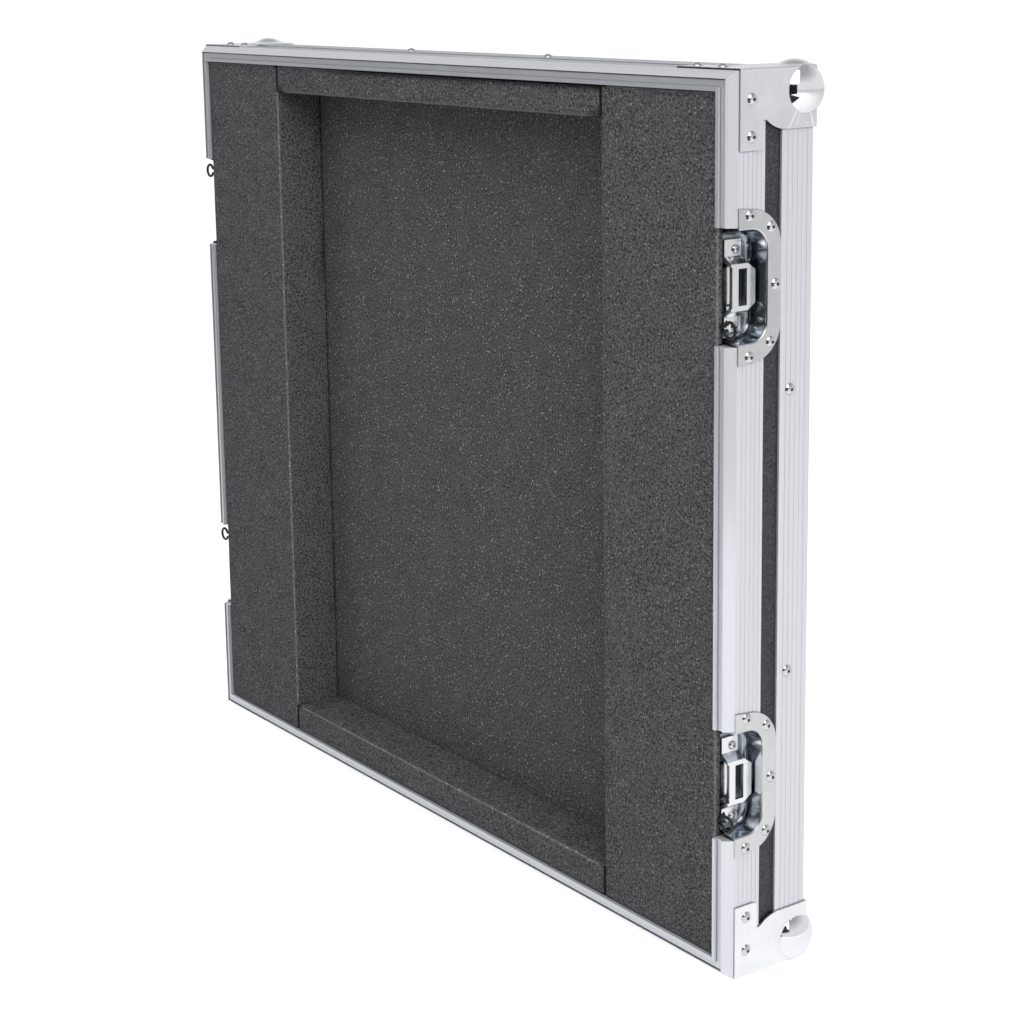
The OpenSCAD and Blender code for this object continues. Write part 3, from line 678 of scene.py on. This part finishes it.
def rivet_heads(node):
    """Detailed heads in the place of a node of plain domes."""
    points, faces, pits = [], [], []
    for solid in islands(node):
        base, out, radius, height = dome_frame(solid)
        u = out.orthogonal().normalized()
        v = out.cross(u)
        rings = []
        for r, h, pit in rivet_profile(radius, height):
            turns = RIVET_TURNS if r else 1
            rings.append([len(points) + k for k in range(turns)])
            for k in range(turns):
                a = 2 * math.pi * k / turns
                points.append(base + out * h + (u * math.cos(a) + v * math.sin(a)) * r)
                pits.append(pit)
        for (a, b), k in product(zip(rings, rings[1:]), range(RIVET_TURNS)):
            n = (k + 1) % RIVET_TURNS
            corners = (a[k % len(a)], a[n % len(a)], b[n % len(b)], b[k % len(b)])
            # A ring of one point gives a triangle.
            faces.append(tuple(dict.fromkeys(corners)))
    piece = new_piece(node + "_heads", points, faces, RIVET, "pit", pits)
    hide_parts(node)


for name in sorted(nodes):
    if name.startswith("rivets"):
        rivet_heads(name)

# Keepers.
# The radius of the wire eye's ring and of its wire, and their steps. Both its legs are bent down to the lug.
EYE_RING, EYE_STEPS = 3.95 * MM, 30
EYE_WIRE, WIRE_SIDES = 0.85 * MM, 12
# The eye's middle lies this far in from the solid's end and front.
EYE_END, EYE_FRONT = 4.8 * MM, 2 * MM
# The wire ring stands forward of the solid's ring and further out, and its legs lie apart on both sides.
EYE_FORWARD, EYE_RAISED, LEG_APART = -4.2 * MM, 4.4 * MM, 1.6 * MM
# Places along a leg, in millimetres from the eye's middle: how far out, and how far back.
LEG = ((-2.6, 0.6), (-2.6, -1.4), (-2.6, -2.6), (-2.45, -3.3),
       (-2.0, -3.9), (-1.3, -4.2), (-0.3, -4.2), (0.3, -4.2))
# The lug's face lies this far in from the eye's middle.
LUG_IN = 3.1 * MM
# The solid's own ring is what lies within WIRE_MARGIN of its wire and more than LUG_MARGIN off the lug.
WIRE_MARGIN = 0.12 * MM
LUG_MARGIN = 0.02 * MM
WELD = 0.002 * MM
CREASE = math.radians(28)


def tube(path, wire):
    """Points and faces of a round wire along an open path, closed at both ends."""
    points, faces = [], []
    last = len(path) - 1
    tangents = [(path[min(i + 1, last)] - path[max(i - 1, 0)]).normalized() for i in range(len(path))]
    across = tangents[0].orthogonal().normalized()
    for i, (place, tangent) in enumerate(zip(path, tangents)):
        if i:
            across = tangents[i - 1].rotation_difference(tangent) @ across
        other = tangent.cross(across)
        start = i * WIRE_SIDES
        for j in range(WIRE_SIDES):
            b = 2 * math.pi * j / WIRE_SIDES
            points.append(place + across * (wire * math.cos(b)) + other * (wire * math.sin(b)))
        for j in range(WIRE_SIDES if i else 0):
            j1 = (j + 1) % WIRE_SIDES
            faces.append((start - WIRE_SIDES + j, start - WIRE_SIDES + j1, start + j1, start + j))
    faces.append(list(range(WIRE_SIDES))[::-1])
    faces.append([last * WIRE_SIDES + j for j in range(WIRE_SIDES)])
    return points, faces


def eye_path(eye, out):
    """The wire eye's middle line: both legs lie on the lug, turn up in front of it and meet in a ring."""
    turn = math.asin(LEG_APART / EYE_RING)
    first = [Vector((out * u * MM, y * MM, -LEG_APART)) for u, y in LEG]
    bow = []
    for i in range(EYE_STEPS + 1):
        a = turn + (2 * math.pi - 2 * turn) * i / EYE_STEPS
        bow.append(Vector((out * (EYE_RAISED - EYE_RING * math.cos(a)), EYE_FORWARD, -EYE_RING * math.sin(a))))
    second = [Vector((p.x, p.y, LEG_APART)) for p in reversed(first)]
    return [eye + p for p in first + bow + second]


def keeper_plate(side, level):
    """The keeper's solid with a wire eye, in front of its lug, in the place of the solid's upright ring."""
    node = "keeper_%s_%s" % (side, level)
    lo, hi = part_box(node)
    if side == "right":
        out, eye = 1, Vector((hi.x - EYE_END, lo.y + EYE_FRONT, lo.z + EYE_END))
    else:
        out, eye = -1, Vector((lo.x + EYE_END, lo.y + EYE_FRONT, hi.z - EYE_END))
    lug = eye.x - out * LUG_IN

    def on_eye(p):
        d = p - eye
        across = math.hypot(d.x, d.z) - EYE_RING
        return math.hypot(across, d.y) < EYE_WIRE + WIRE_MARGIN

    def above_lug(f):
        return (f.calc_center_median().x - lug) * out > LUG_MARGIN

    mesh = bmesh.new()
    mesh.from_mesh(nodes[node].data)
    bmesh.ops.remove_doubles(mesh, verts=mesh.verts, dist=WELD)
    old = [f for f in mesh.faces if all(on_eye(v.co) for v in f.verts) and above_lug(f)]
    bmesh.ops.delete(mesh, geom=old, context="FACES")
    bmesh.ops.holes_fill(mesh, edges=[e for e in mesh.edges if e.is_boundary], sides=0)
    mesh.verts.index_update()
    points = [v.co.copy() for v in mesh.verts]
    faces = [[v.index for v in f.verts] for f in mesh.faces]
    mesh.free()
    plain = len(points)
    more, loops = tube(eye_path(eye, out), EYE_WIRE)
    faces += [[plain + v for v in loop] for loop in loops]
    marks = [0.0] * plain + [1.0] * len(more)
    piece = new_piece(node + "_plate", points + more, faces, KEEPER, "ring", marks)
    piece.data.set_sharp_from_angle(angle=CREASE)
    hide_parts(node)


for side, level in product(SIDES, LEVELS):
    keeper_plate(side, level)

# Floor, world and lamps.
WHITE = rgb(1, 1, 1)
FLOOR_SIZE, FLOOR_COLOUR = (28.0, 28.0), rgb(0.7, 0.7, 0.7)
CARD_COLOUR = rgb(0.01, 0.011, 0.013)
# What each gives out itself, and what it adds where the camera looks and where metal does.
FLOOR_OWN, FLOOR_CAMERA, FLOOR_GLOSSY = 0.0, 0.74, 0.34
WORLD_OWN, WORLD_CAMERA = 0.45, 0.6
# Metal sees the world get darker overhead: heights where that starts and ends, and the strength there.
OVERHEAD = (0.35, 0.8, 0.37, -0.05)
MIDDLE = (0.0, 0.0, 0.24)
# Name, place, size, watts, and whether the metal shows it.
LAMPS = (
    ("key", (1.9, -0.5, 1.3), (1.2, 1.2), 20, False),
    ("top", (1.05, -0.92, 1.92), (1.6, 2.0), 24, True),
    ("left", (-1.6, -1.9, 1.0), (1.0, 1.4), 7, False),
)
# Name, place, the point that it faces, and size.
CARDS = (
    ("flag_right", (0.693, -0.534, 0.46), (0.262, 0.018, 0.46), (0.52, 0.46)),
    ("flag_front", (-0.55, -0.70, 0.355), (-0.55, 0.0, 0.355), (2.70, 0.70)),
    ("flag_low", (0.52, -0.34, 0.20), (0.52, -0.34, 0.0), (0.40, 0.40)),
)


def seen_light(tree, own, camera, glossy):
    """Strength of a light: own for plain light, more where the camera looks, and more where metal does."""
    path = tree.nodes.new("ShaderNodeLightPath")
    total = own
    for ray, share in (("Is Camera Ray", camera), ("Is Transmission Ray", camera), ("Is Glossy Ray", glossy)):
        node = tree.nodes.new("ShaderNodeMath")
        node.operation = "MULTIPLY_ADD"
        for socket, value in zip(node.inputs, (path.outputs[ray], share, total)):
            put(tree, socket, value)
        total = node.outputs[0]
    return total


def face_point(thing, at, aim):
    """Stand a lamp or a card at a place, turned towards a point."""
    thing.location = at
    thing.rotation_mode = "QUATERNION"
    thing.rotation_quaternion = (Vector(aim) - Vector(at)).to_track_quat("-Z", "Y")


def panel(name, size, colour, roughness):
    """A flat rectangle beside the object. Returns it and its shader."""
    w, h = size[0] / 2, size[1] / 2
    mesh = bpy.data.meshes.new(name)
    mesh.from_pydata([(-w, -h, 0), (w, -h, 0), (w, h, 0), (-w, h, 0)], [], [(0, 1, 2, 3)])
    thing = bpy.data.objects.new(name, mesh)
    scene.collection.objects.link(thing)
    material = bpy.data.materials.new(name)
    material.use_nodes = True
    mesh.materials.append(material)
    shader = material.node_tree.nodes["Principled BSDF"]
    shader.inputs["Base Color"].default_value = colour
    shader.inputs["Roughness"].default_value = roughness
    return thing, shader


def make_floor():
    """A pale floor that keeps a soft shadow."""
    shader = panel("floor", FLOOR_SIZE, FLOOR_COLOUR, roughness=1.0)[1]
    tree = shader.id_data
    put(tree, shader.inputs["Specular IOR Level"], 0.0)
    put(tree, shader.inputs["Emission Color"], WHITE)
    strength = seen_light(tree, FLOOR_OWN, FLOOR_CAMERA, FLOOR_GLOSSY)
    put(tree, shader.inputs["Emission Strength"], strength)


def make_world():
    """Plain white light, which metal sees darker overhead."""
    world = bpy.data.worlds.new("world")
    scene.world = world
    world.use_nodes = True
    tree = world.node_tree
    tree.nodes.clear()
    out = tree.nodes.new("ShaderNodeOutputWorld")
    back = tree.nodes.new("ShaderNodeBackground")
    place = tree.nodes.new("ShaderNodeTexCoord")
    split = tree.nodes.new("ShaderNodeSeparateXYZ")
    overhead = tree.nodes.new("ShaderNodeMapRange")
    put(tree, out.inputs[0], back.outputs[0])
    put(tree, split.inputs[0], place.outputs["Generated"])
    for socket, value in zip(overhead.inputs, (split.outputs["Z"],) + OVERHEAD):
        put(tree, socket, value)
    put(tree, back.inputs["Strength"], seen_light(tree, WORLD_OWN, WORLD_CAMERA, overhead.outputs[0]))
    put(tree, back.inputs["Color"], WHITE)


def lamp(name, at, size, power, shown):
    """An area lamp aimed at the object's middle, which the metal shows only where shown is true."""
    data = bpy.data.lights.new(name, "AREA")
    data.shape = "RECTANGLE"
    data.size, data.size_y = size
    data.energy = power
    light = bpy.data.objects.new(name, data)
    scene.collection.objects.link(light)
    face_point(light, at, MIDDLE)
    light.visible_glossy = shown


def flag(name, at, aim, size):
    """A dark card beside the set, which only the metal shows."""
    card = panel(name, size, CARD_COLOUR, roughness=0.9)[0]
    face_point(card, at, aim)
    card.visible_camera = False
    card.visible_shadow = False
    card.visible_diffuse = False


make_floor()
make_world()
for row in LAMPS:
    lamp(*row)
for row in CARDS:
    flag(*row)
